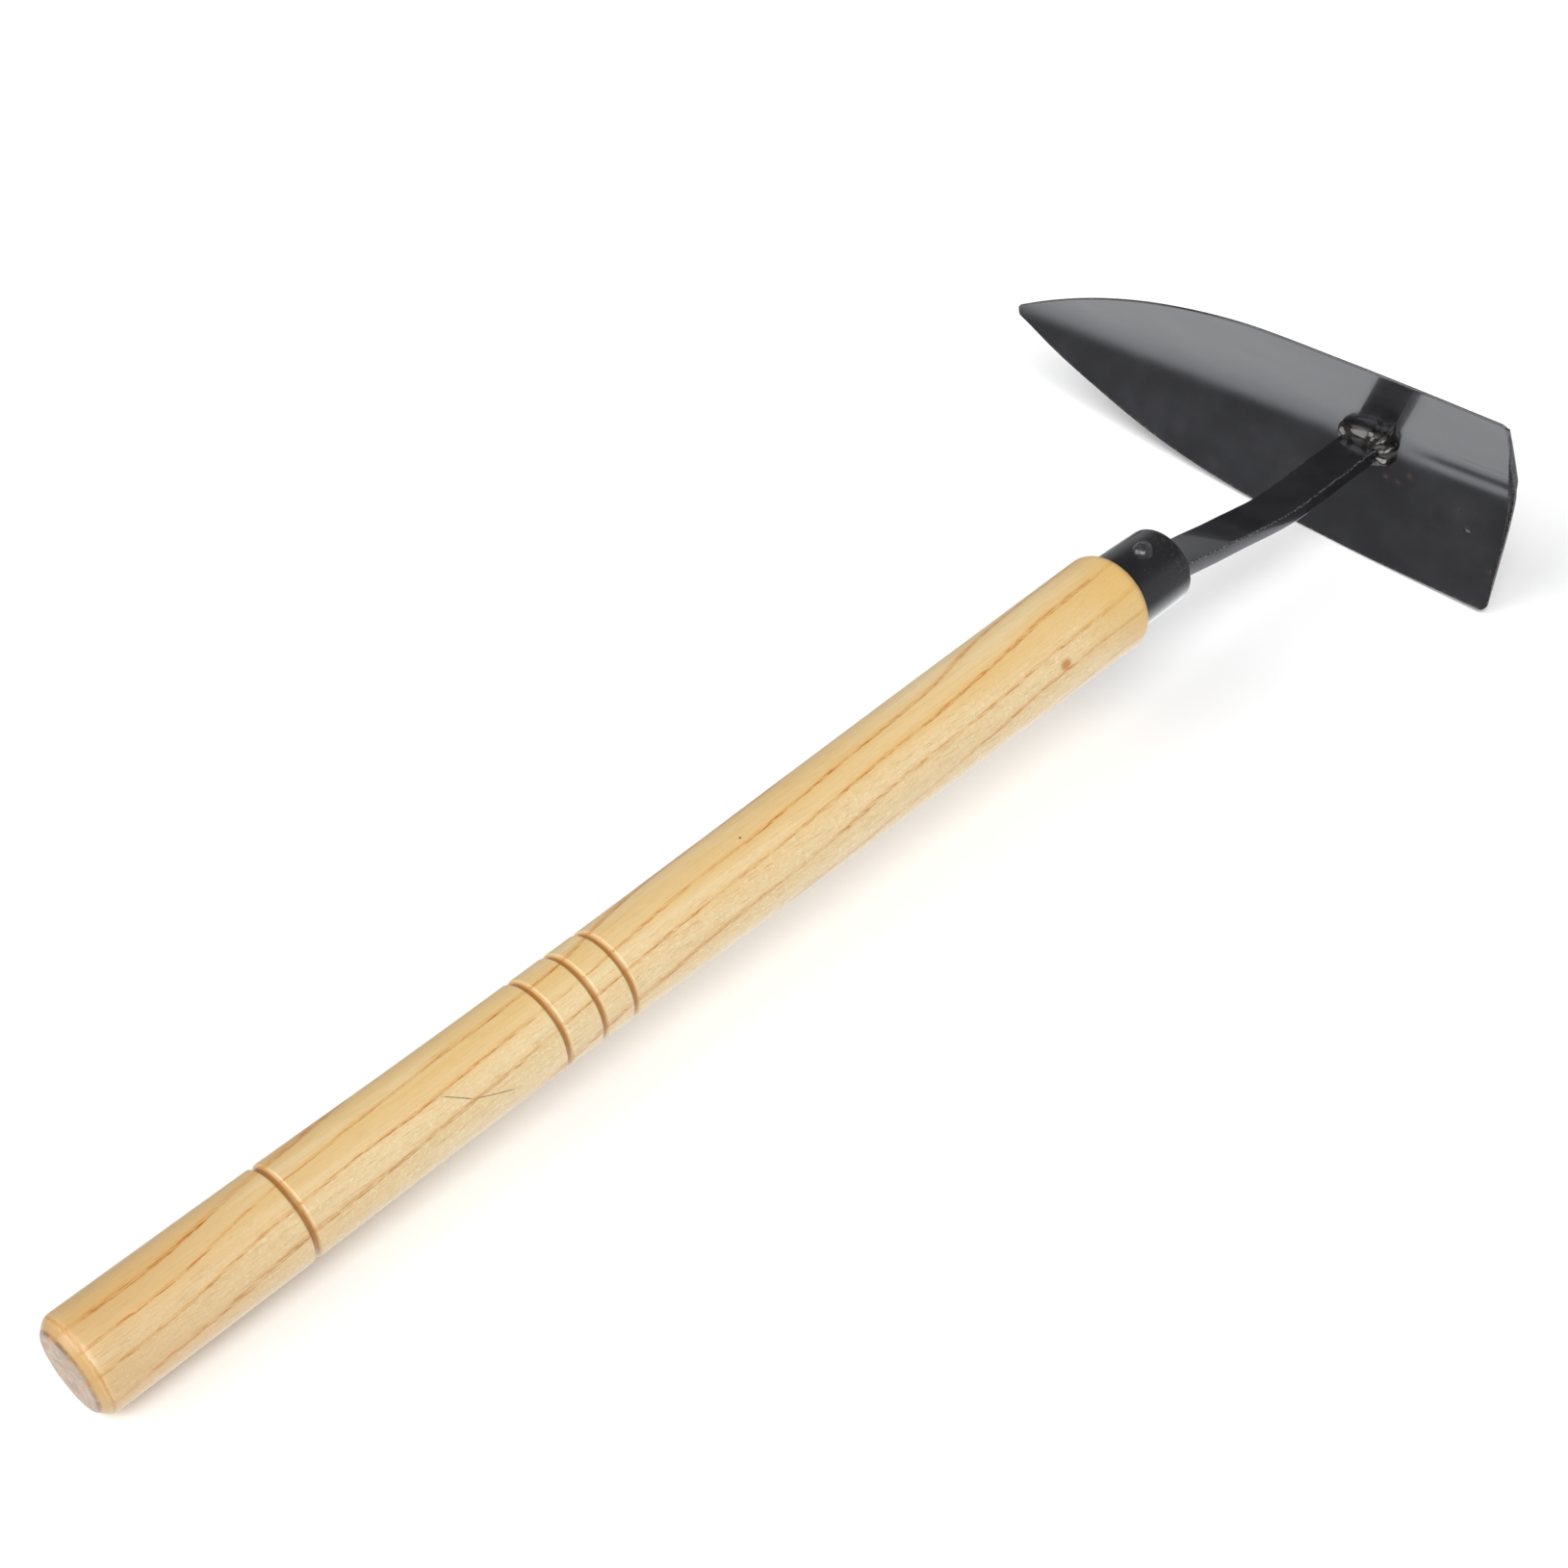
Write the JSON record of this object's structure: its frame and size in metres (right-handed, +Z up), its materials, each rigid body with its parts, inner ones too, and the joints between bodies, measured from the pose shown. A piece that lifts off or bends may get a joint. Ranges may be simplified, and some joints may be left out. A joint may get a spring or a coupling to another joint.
{
  "type": "draw hoe",
  "caption": "Short-handled draw hoe with a turned wooden handle, a riveted ferrule and a leaf blade folded along its length, pointed at one end and square at the other.",
  "frame": {"origin": "bottom centre of the whole hoe as it rests on its butt rim and the blade's lower edge", "axes": "+X along the handle towards the head as seen from above, +Y towards the blade's point, +Z up"},
  "size_m": [0.4516, 0.1856, 0.0621],
  "materials": {
    "varnished_wood": "clear satin varnish on pale ash-like wood, grooves burnt brown",
    "ferrule_enamel": "gloss black enamel",
    "rivet_enamel": "gloss black enamel, slightly worn on the dome",
    "neck_enamel": "gloss black enamel, rubbed on the edges",
    "weld_enamel": "lumpy weld under gloss black enamel, brownish in the hollows",
    "blade_enamel": "smooth gloss black enamel, thin at the edges"
  },
  "bodies": {
    "root": {"handle": "varnished_wood", "ferrule": "ferrule_enamel", "rivet": "rivet_enamel", "neck": "neck_enamel", "weld_bead": "weld_enamel", "blade": "blade_enamel"}
  },
  "joints": []
}
